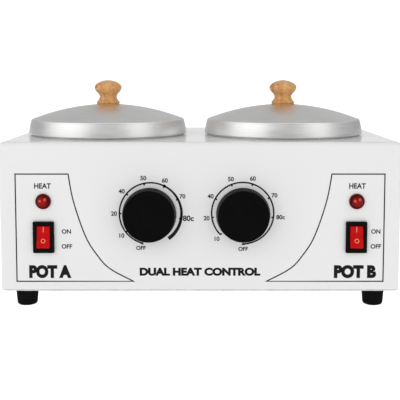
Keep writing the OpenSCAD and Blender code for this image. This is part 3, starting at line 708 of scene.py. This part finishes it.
def lids():
    for side in SIDES:
        node = side + "_lid"
        place = middle(node)
        rim_r = high(node).x - place.x
        height = high(node).z - low(node).z
        lip_r = rim_r - LIP_W
        lip_top = SKIRT_DROP + LIP_T
        outer = lid_outline(rim_r, height, 0)
        inner = lid_outline(rim_r, height, LID_WALL)
        rim = [(lip_r, lip_top), (lip_r, SKIRT_DROP + 0.25), (lip_r + 0.25, SKIRT_DROP),
               (rim_r - LID_WALL - 0.35, SKIRT_DROP), (rim_r - LID_WALL, 0.35), (rim_r - 0.9, 0),
               (rim_r - 0.3, 0), (rim_r - 0.05, 0.15)]
        outline = (rim + outer + [(LID_HOLE_R, height), (LID_HOLE_R, height - LID_WALL)]
                   + [p for p in reversed(inner) if p[1] > lip_top])
        obj = lathe(side + "_lid_spun", outline, (place.x, place.y, low(node).z), closed=True)
        put(obj, FINISH["lid"], side + "_lid", (node,))


KNOB_TURNING = [
    (0.83, 0), (0.84, 0.025), (0.8, 0.045), (0.872, 0.075), (0.83, 0.115), (0.73, 0.176),
    (0.64, 0.27), (0.64, 0.335), (0.71, 0.42), (0.855, 0.51), (0.963, 0.594), (1, 0.69),
    (0.93, 0.803), (0.735, 0.889), (0.42, 0.965), (0, 1),
]                               # (radius, height) in shares of the knob's largest radius and height
KNOB_BORE_R = 1.97
KNOB_BORE_DEPTH = 14.0


def lid_knobs():
    for side in SIDES:
        node = side + "_lid_knob"
        place = middle(node)
        r = high(node).x - place.x
        h = high(node).z - low(node).z
        outer = [(min(max(x, 0), 1) * r, min(max(z, 0), 1) * h) for x, z in smooth(KNOB_TURNING)]
        bore = [(0, KNOB_BORE_DEPTH), (KNOB_BORE_R, KNOB_BORE_DEPTH), (KNOB_BORE_R, 0)]
        obj = lathe(side + "_lid_grip", bore + outer, (place.x, place.y, low(node).z), steps=96)
        put(obj, FINISH["beech"], side + "_lid", (node,), 45)


# ---- Feet ----

FOOT_TAPER = 1.3                # how much smaller in radius a foot is at its tip
FOOT_HOLE_R = 2.1
FOOT_RECESS_R = 5.0             # the recess below that hides the screw's head


def feet():
    for end in ("front", "back"):
        for side in SIDES:
            node = f"foot_{end}_{side}"
            place = middle(node)
            r = high(node).x - place.x
            h = high(node).z
            outline = rounded([
                (FOOT_HOLE_R, h, 0), (r, h, 0.8), (r - FOOT_TAPER, 0, 2.4), (FOOT_RECESS_R, 0, 0.4),
                (FOOT_RECESS_R, h / 2, 0.5), (FOOT_HOLE_R, h / 2, 0)
            ])
            obj = lathe(node + "_rubber", outline, (place.x, place.y, 0), steps=96, closed=True)
            put(obj, FINISH["rubber"], "case", (node,), 40)


# ---- Dials ----

DIAL_TAPER = 1.4                # how much smaller in radius a knob is at its face
DIAL_WALL = 3.0
DIAL_HOLLOW = 8.0
BOSS_R = 7.0
SHAFT_BORE_R = 3.05
BOSS_Z = 3.0                    # the boss ends this far from the panel


def dial_knobs():
    for side in SIDES:
        node = side + "_dial_knob"
        place = middle(node)
        r = high(node).x - place.x
        gap = FRONT_Y - high(node).y
        reach = FRONT_Y - low(node).y
        bore = reach - 3.5
        inside_r = r - DIAL_WALL
        outline = rounded([
            (0, bore), (SHAFT_BORE_R, bore), (SHAFT_BORE_R, BOSS_Z, 0.3), (BOSS_R, BOSS_Z, 0.3),
            (BOSS_R, DIAL_HOLLOW, 0.3), (inside_r, DIAL_HOLLOW, 0.5), (inside_r, gap, 0.2),
            (r, gap, 0.25), (r, gap + 1.5, 0), (r - DIAL_TAPER, reach, 1.1), (0, reach)
        ], closed=False)
        obj = lathe(side + "_dial_cap", outline, (place.x, FRONT_Y, place.z), FACING_FRONT)
        put(obj, FINISH["black_knob"], side + "_dial", (node,), 40)


# ---- Switches ----

SWITCH_BODY = (16.0, 25.0)
SWITCH_BODY_DEPTH = 20.0
WINDOW = (12.2, 21.4)
WINDOW_DEPTH = 3.5
ROCKER_W = 11.6
ROCKER_TILT = math.radians(11)
ROCKER_END = 9.9                # from a rocker's pivot to the crest at either end
ROCKER_DIP = 2.2                # height of its face over the pivot
ROCKER_RISE = 0.8               # how much higher the crests are
PIVOT_OUT = 0.9                 # how far the pivot stands out of the panel


def switches():
    for side in SIDES:
        node = side + "_switch_housing"
        w, h = (high(node) - low(node)).x, (high(node) - low(node)).z
        out = FRONT_Y - low(node).y
        place = (middle(node).x, FRONT_Y, middle(node).z)
        bezel = prism(side + "_switch_frame", block_outline(w, h, 0.9), 0, out, place, FACING_FRONT)
        outline = block_outline(*SWITCH_BODY, 0.4)
        join(bezel, prism("body", outline, -SWITCH_BODY_DEPTH, 0.5, place, FACING_FRONT))
        outline = block_outline(*WINDOW, 0.6)
        cut(bezel, prism("window", outline, -WINDOW_DEPTH, out + 1, place, FACING_FRONT))
        soften(bezel, 0.45)
        put(bezel, FINISH["black_plastic"], "case", (node,))
        rocker(side, place)


def rocker(side, place):
    """A two-way rocker, pressed in at the top, with its marks."""
    crest = ROCKER_DIP + ROCKER_RISE
    outline = rounded([(ROCKER_END, crest, 0.8), (0, ROCKER_DIP, 14), (-ROCKER_END, crest, 0.8),
                       (-10.1, 0, 0.3), (-7.5, -5, 0.5), (7.5, -5, 0.5), (10.1, 0, 0.3)], steps=8)
    bm = bmesh.new()
    one, two = ([bm.verts.new((x, y, z)) for y, z in outline] for x in (-ROCKER_W / 2, ROCKER_W / 2))
    bm.faces.new(one)
    bm.faces.new(two)
    for k in range(len(outline)):
        m = (k + 1) % len(outline)
        bm.faces.new((one[k], one[m], two[m], two[k]))
    pivot = (place[0], place[1] - PIVOT_OUT, place[2])
    turn = (math.pi / 2 - ROCKER_TILT, 0, 0)
    button = add_object(side + "_rocker_button", mesh_of("button", bm), pivot, turn)
    soften(button, 0.5, 3, 50)
    put(button, FINISH["red_plastic"], side + "_rocker", (side + "_rocker",))
    slope = ROCKER_RISE / ROCKER_END
    for name, half, middle_y, points in (
            ("on", 1, 6.9, [(0, -2.5), (0, 2.3)]),
            ("off", -1, -3.4, circle_outline(1.7, steps=36) + [(1.7, 0)])):
        mark = Print()
        mark.stroke(points, 0.6)
        face_z = ROCKER_DIP + slope * abs(middle_y)
        there = Matrix.Rotation(turn[0], 3, "X") @ Vector((0, middle_y, face_z))
        mark.finish(f"{side}_rocker_mark_{name}", Vector(pivot) + there,
                    (turn[0] + half * math.atan(slope), 0, 0), side + "_rocker", "mark")


# ---- Lamps ----


def lamps():
    for side in SIDES:
        node = side + "_lamp_lens"
        place = middle(node)
        r = high(node).x - place.x
        out = FRONT_Y - low(node).y
        rim = 1.8
        dome_r = r - 1.6
        wall = 1.1
        steps = 14
        quarter = [math.pi / 2 * k / steps for k in range(steps + 1)]
        dome = [(dome_r * math.cos(a), rim + (out - rim) * math.sin(a)) for a in quarter]
        inside = [((dome_r - wall) * math.cos(a), rim + (out - rim - wall) * math.sin(a)) for a in quarter]
        base = rounded([(dome_r - wall, 0, 0), (r, 0, 0.2), (r, rim, 0.6), (dome_r, rim, 0)], closed=False)
        outline = base[:-1] + dome + list(reversed(inside))
        outline = [(0 if x < 1e-6 else x, z) for x, z in outline]
        obj = lathe(side + "_lamp_dome", outline, (place.x, FRONT_Y, place.z), FACING_FRONT, 96)
        put(obj, FINISH["red_lens"], "case", (node,), 40)


# ---- Mains inlet ----

INLET_BODY = (27.6, 20.6)
INLET_BODY_DEPTH = 18.0
SOCKET_DEPTH = 14.0
SOCKET_CORNERS = ((-12.2, -8.3), (12.2, -8.3), (12.2, 4), (8.5, 8.3), (-8.5, 8.3), (-12.2, 4))
INLET_SCREW_X = 20.0


def inlet():
    """The flush mains inlet in the back, a flange with a six-cornered socket."""
    node = "power_inlet"
    place = (middle(node).x, BACK_Y, middle(node).z)
    w, h = (high(node) - low(node)).x, (high(node) - low(node)).z
    out = high(node).y - BACK_Y
    flange = prism("mains_inlet_housing", block_outline(w, h, 4), 0, out, place, FACING_BACK)
    outline = block_outline(*INLET_BODY, 0.5)
    join(flange, prism("body", outline, -INLET_BODY_DEPTH, 1, place, FACING_BACK))
    socket = rounded([(*corner, 0.8) for corner in SOCKET_CORNERS])
    cut(flange, prism("socket", socket, -SOCKET_DEPTH, out + 1, place, FACING_BACK))
    for x in (-INLET_SCREW_X, INLET_SCREW_X):
        sink = lathe("sink", [(0, -6), (1.6, -6), (1.6, out - 1.7), (3.3, out + 0.1), (0, out + 0.1)],
                     (place[0] + x, place[1], place[2]), FACING_BACK, SMALL_ROUND)
        cut(flange, sink)
    soften(flange, 0.35)
    put(flange, FINISH["black_plastic"], "case", (node,))


# ---- Printing on the front panel, in millimetres from its middle and from the case's bottom ----

INK_T = 0.05                    # thickness of the printed ink
PRINT_Z = BASE_Z                # printed heights are measured from here


class Print:
    """Ink on a flat face: strokes, spots and letters gathered into one mesh."""

    def __init__(self):
        self.bm = bmesh.new()

    def face(self, points):
        """Raises a flat face, a list of (x, y) points, to the ink's thickness."""
        back = [self.bm.verts.new((x, y, 0)) for x, y in points]
        front = [self.bm.verts.new((x, y, INK_T)) for x, y in points]
        self.bm.faces.new(back)
        self.bm.faces.new(front)
        for k in range(len(points)):
            m = (k + 1) % len(points)
            self.bm.faces.new((back[k], back[m], front[m], front[k]))

    def stroke(self, points, widths):
        """A line through the points; widths is one number, or one for each point."""
        points = [Vector(p) for p in points]
        if not hasattr(widths, "__len__"):
            widths = [widths] * len(points)
        closed = (points[0] - points[-1]).length < 1e-6
        if closed:
            points.pop()
            widths = widths[:len(points)]
        count = len(points)
        sides = []
        for i, p in enumerate(points):
            before = points[i - 1] if closed or i else p
            after = points[(i + 1) % count] if closed or i < count - 1 else p
            one = (p - before).normalized() if before is not p else (after - p).normalized()
            two = (after - p).normalized() if after is not p else one
            normal = Vector((-(one + two).y, (one + two).x)).normalized()
            reach = widths[i] / 2 / max(0.35, normal.dot(Vector((-two.y, two.x))))
            sides.append((p + normal * reach, p - normal * reach))
        rings = [[self.bm.verts.new((q.x, q.y, z)) for q, z in
                  ((a, 0), (b, 0), (b, INK_T), (a, INK_T))] for a, b in sides]
        pairs = list(zip(rings, rings[1:])) + ([(rings[-1], rings[0])] if closed else [])
        for one, two in pairs:
            for k in range(4):
                m = (k + 1) % 4
                self.bm.faces.new((one[k], one[m], two[m], two[k]))
        if not closed:
            self.bm.faces.new(rings[0])
            self.bm.faces.new(rings[-1])

    def letters(self, words, x, y, height, weight, width=None):
        """Words centred on (x, y), their capitals of that height, stretched to a width if it is given."""
        curve = bpy.data.curves.new("words", "FONT")
        curve.body = words
        curve.offset = weight
        curve.extrude = 0.5
        curve.resolution_u = 6
        obj = bpy.data.objects.new("words", curve)
        bpy.context.scene.collection.objects.link(obj)
        depsgraph = bpy.context.evaluated_depsgraph_get()
        mesh = bpy.data.meshes.new_from_object(obj.evaluated_get(depsgraph))
        xs = [v.co.x for v in mesh.vertices]
        ys = [v.co.y for v in mesh.vertices]
        tall = height / (max(ys) - min(ys))
        wide = width / (max(xs) - min(xs)) if width else tall
        mesh.transform(Matrix.Translation((x, y, INK_T / 2))
                       @ Matrix.Diagonal((wide, tall, INK_T, 1))
                       @ Matrix.Translation((-(max(xs) + min(xs)) / 2, -(max(ys) + min(ys)) / 2, 0)))
        self.bm.from_mesh(mesh)
        bpy.data.objects.remove(obj)
        bpy.data.curves.remove(curve)
        bpy.data.meshes.remove(mesh)

    def finish(self, name, place, turn, body="case", finish="ink"):
        """Lays the ink on a flat face: place is its origin, and turn is how it lies."""
        bmesh.ops.remove_doubles(self.bm, verts=self.bm.verts, dist=1e-4)
        obj = add_object(name, mesh_of(name, self.bm), place, turn)
        return put(obj, FINISH[finish], body)


def around(x, z, radius, angle):
    """A point round a dial, by degrees clockwise from straight down."""
    a = math.radians(angle)
    return (x - radius * math.sin(a), z - radius * math.cos(a))


def arc(x, z, radius, start, end, step=3):
    """Points round a dial, about step degrees apart."""
    count = max(2, round(abs(end - start) / step))
    return [around(x, z, radius, start + (end - start) * k / count) for k in range(count + 1)]


SCALE_R = 27.9                  # the printed ring round a dial
NUMBER_R = 32.7                 # the middles of its numbers
LONG_NUMBER_R = NUMBER_R + 1.6  # the middle of its last one, which is longer
OFF_R = SCALE_R + 4.6           # the middle of the word OFF below it
NUMBERS = ("10", "20", "40", "50", "60", "70", "80c")
NUMBER_H = 4.1
HOT_NUMBER_H = 5.2              # the last number on the left
HOT_START = "60"                # where the left ring's thick band starts, at a spot
HOT_END = 324.6                 # and where it ends, in degrees
HOT_SWELL = 1.8                 # how much wider the band grows
SPOT_R = 1.4
RING = 1.4                      # width of a ring's line
TICK = 1.5                      # width of a tick
LINE = 1.1                      # width of a frame's line
THIN = 0.03                     # how much a letter's strokes are widened, in shares of its size

# Each printed scale: how far it stands off the dial's axis, right and up; where OFF is; and the places
# of its ticks and numbers. Angles are degrees clockwise from straight down.
SCALES = {
    "left": ((1.0, 0.9), 15.5, (52.7, 90.2, 129.7, 168.2, 206.6, 242.1, 279.9),
             (52.3, 90, 128.2, 169, 203.5, 241.5, 277.2)),
    "right": ((-0.4, 1.2), -1, (45.9, 81.9, 118.2, 158.8, 198.6, 239.6, 278),
              (44.7, 82.1, 118.2, 161, 196, 240.3, 275.9)),
}


def dial_scale(side):
    """A thin ring with a tick and a number for each setting."""
    dial = middle(side + "_dial_knob")
    (right, up), off, ticks, places = SCALES[side]
    x, z = dial.x + right, dial.z - PRINT_Z + up
    ink = Print()
    for number, tick, place in zip(NUMBERS, ticks, places):
        ink.stroke([around(x, z, SCALE_R - 1.8, tick), around(x, z, SCALE_R + 0.2, tick)], TICK)
        last = number == NUMBERS[-1]
        height = HOT_NUMBER_H if last and side == "left" else NUMBER_H
        spot = around(x, z, LONG_NUMBER_R if last else NUMBER_R, place)
        ink.letters(number, *spot, height=height, weight=THIN)
    ink.letters("OFF", *around(x, z, OFF_R, off), height=3.8, weight=0.035)
    tip = around(x, z, SCALE_R - 1.4, off)
    foot = [around(x, z, SCALE_R + 1.1, off + spread) for spread in (-3.5, 3.5)]
    ink.face([tip, *foot])
    if side == "right":
        ink.stroke(arc(x, z, SCALE_R, ticks[0], 360 + off), RING)
    else:
        hot = ticks[NUMBERS.index(HOT_START)]
        band = arc(x, z, SCALE_R, hot, HOT_END)
        widths = [RING + 0.2 + HOT_SWELL * (k / (len(band) - 1)) ** 1.2 for k in range(len(band))]
        ink.stroke(arc(x, z, SCALE_R, off, hot), RING)
        ink.stroke(band, widths)
        spot = around(x, z, SCALE_R, hot)
        ink.face([around(*spot, SPOT_R, 24 * k) for k in range(15)])
    ink.finish(f"{side}_dial_scale", (0, FRONT_Y, PRINT_Z), FACING_FRONT)


def panel_frame(side):
    """The outlined field round a lamp and a switch: three straight sides and one that sweeps in."""
    sign = -1 if side == "left" else 1
    outer, top, bottom = 165.4, 106.6, 9.0
    sweep = smooth([(118.0, top), (113.4, 81.5), (103.1, 50.4), (92.8, 33.2), (81.3, 20.6), (60.0, bottom)])
    outline = [(outer, bottom), (outer, top)] + sweep + [(outer, bottom)]
    ink = Print()
    ink.stroke([(sign * x, z) for x, z in outline], LINE)
    ink.finish(f"{side}_field_line", (0, FRONT_Y, PRINT_Z), FACING_FRONT)


HEAT_X = 141.0                  # from the panel's middle to the word over a lamp
HEAT_Z = 95.9
SWITCH_WORDS = {"left": 20.3, "right": 17.6}            # from a switch's middle to ON and OFF
SWITCH_ON_Z = 54.6
SWITCH_OFF_Z = 41.0
SWITCH_WORD_H = 4.1
POT_NAMES = {"left": ("POT A", -135.2), "right": ("POT B", 140.0)}
POT_NAME_Z = 17.9
TITLE_Z = 17.8


def labels(side):
    """The words round a lamp and a switch, and the name of the pot that they serve."""
    sign = -1 if side == "left" else 1
    words_x = middle(side + "_switch_housing").x + SWITCH_WORDS[side]
    ink = Print()
    ink.letters("HEAT", sign * HEAT_X, HEAT_Z, height=4.9, width=15, weight=THIN)
    ink.letters("ON", words_x, SWITCH_ON_Z, height=SWITCH_WORD_H, weight=THIN)
    ink.letters("OFF", words_x + 0.3, SWITCH_OFF_Z, height=SWITCH_WORD_H, weight=THIN)
    ink.finish(f"{side}_switch_words", (0, FRONT_Y, PRINT_Z), FACING_FRONT)
    name, name_x = POT_NAMES[side]
    bold = Print()
    bold.letters(name, name_x, POT_NAME_Z, height=12.1, width=38.2, weight=0.07)
    bold.finish(f"{side}_pot_name", (0, FRONT_Y, PRINT_Z), FACING_FRONT)


def printing():
    for side in SIDES:
        dial_scale(side)
        panel_frame(side)
        labels(side)
    bold = Print()
    bold.letters("DUAL HEAT CONTROL", 0, TITLE_Z, height=7.5, width=109, weight=0.06)
    bold.finish("panel_title", (0, FRONT_Y, PRINT_Z), FACING_FRONT)


# ---- Everything else keeps its CAD shape and gets its finish ----


def carried_over():
    """Gives every CAD node that no piece stands for its finish."""
    for part in frame["record"]["subparts"]:
        node = frame["nodes"][part["node"]]
        if node.hide_render:
            continue
        for material_slot in node.material_slots:
            material_slot.material = FINISH[part["material_slot"]]


case_shell()
wells_and_pots()
lids()
lid_knobs()
feet()
dial_knobs()
switches()
lamps()
printing()
inlet()
carried_over()

# ---- Stage, in metres and watts ----

LIT_POINT = Vector((0, 0, 0.12))
EYE_DISTANCE = 0.7121           # in front of the front panel
EYE_Z = 0.2121
EYE_PITCH = math.radians(4.809)


def stage():
    """A pale floor that glows a little, more so to the eye."""
    bm = bmesh.new()
    reach = 20000
    bm.faces.new([bm.verts.new((x * reach, y * reach, 0)) for x, y in ((-1, -1), (1, -1), (1, 1), (-1, 1))])
    floor = add_object("floor", mesh_of("floor", bm))
    f = Finish("floor_white", (0.9, 0.9, 0.9), 0.7, Specular_IOR_Level=0.1)
    f.shader.inputs["Emission Color"].default_value = (1, 1, 1, 1)
    path = f.add("LightPath")
    glow = f.add("MapRange")
    glow.inputs["To Min"].default_value = 0.38
    glow.inputs["To Max"].default_value = 0.85
    f.link(path.outputs["Is Camera Ray"], glow.inputs["Value"])
    f.link(glow.outputs["Result"], f.shader.inputs["Emission Strength"])
    floor.data.materials.append(f.material)


def world():
    """White to the eye. For light and reflections, a grey room with a lit backdrop low at the back."""
    made = bpy.data.worlds.new("studio")
    bpy.context.scene.world = made
    made.use_nodes = True
    tree = made.node_tree
    place = tree.nodes.new("ShaderNodeTexCoord")
    split = tree.nodes.new("ShaderNodeSeparateXYZ")
    tree.links.new(place.outputs["Generated"], split.inputs["Vector"])

    def ramp(axis, stops):
        """Greys for a direction's share along an axis, from (share, grey) stops."""
        node = tree.nodes.new("ShaderNodeValToRGB")
        node.color_ramp.interpolation = "EASE"
        while len(node.color_ramp.elements) < len(stops):
            node.color_ramp.elements.new(0.5)
        for element, (position, grey) in zip(node.color_ramp.elements, stops):
            element.position = position
            element.color = (grey, grey, grey, 1)
        tree.links.new(split.outputs[axis], node.inputs["Fac"])
        return node.outputs["Color"]

    def mix(kind, one, two, share=None):
        """Blends two colours, each a socket or a value, all the way or by a share."""
        node = tree.nodes.new("ShaderNodeMix")
        node.data_type = "RGBA"
        node.blend_type = kind
        node.inputs["Factor"].default_value = 1
        for value, name in ((one, "A"), (two, "B"), (share, "Factor")):
            if isinstance(value, tuple):
                node.inputs[name].default_value = value
            elif value is not None:
                tree.links.new(value, node.inputs[name])
        return node.outputs["Result"]

    backdrop = mix("MULTIPLY", ramp("Y", [(0.86, 0), (0.97, 1)]), ramp("Z", [(0.13, 0.55), (0.25, 0)]))
    walls = ramp("Z", [(0.0, 0.3), (0.2, 0.38), (0.42, 0.53), (0.66, 0.48), (0.86, 0.64)])
    room = mix("ADD", walls, backdrop)
    path = tree.nodes.new("ShaderNodeLightPath")
    seen = mix("MIX", room, (1.2, 1.2, 1.2, 1), path.outputs["Is Camera Ray"])
    tree.links.new(seen, tree.nodes["Background"].inputs["Color"])


def softbox(name, place, size, power):
    """A rectangular lamp that faces the warmer's middle."""
    light = bpy.data.lights.new(name, "AREA")
    light.shape = "RECTANGLE"
    light.size, light.size_y = size
    light.energy = power
    obj = bpy.data.objects.new(name, light)
    obj.location = place
    obj.rotation_euler = (LIT_POINT - Vector(place)).to_track_quat("-Z", "Y").to_euler()
    bpy.context.scene.collection.objects.link(obj)


def camera():
    """A little above the knobs and tipped slightly down, near enough to show the top panel."""
    data = bpy.data.cameras.new("camera")
    data.sensor_width = 36
    data.lens = 72.2
    data.shift_y = -0.15
    obj = bpy.data.objects.new("camera", data)
    obj.location = (0, FRONT_Y * MM - EYE_DISTANCE, EYE_Z)
    obj.rotation_euler = (math.pi / 2 - EYE_PITCH, 0, 0)
    bpy.context.scene.collection.objects.link(obj)
    bpy.context.scene.camera = obj


stage()
world()
softbox("key_left", place=(-1.45, -1.0, 1.1), size=(2.2, 2.1), power=13.3)
softbox("key_right", place=(1.3, -1.1, 1.1), size=(1.2, 2.1), power=6.6)
camera()
bpy.context.scene.view_settings.view_transform = "Standard"
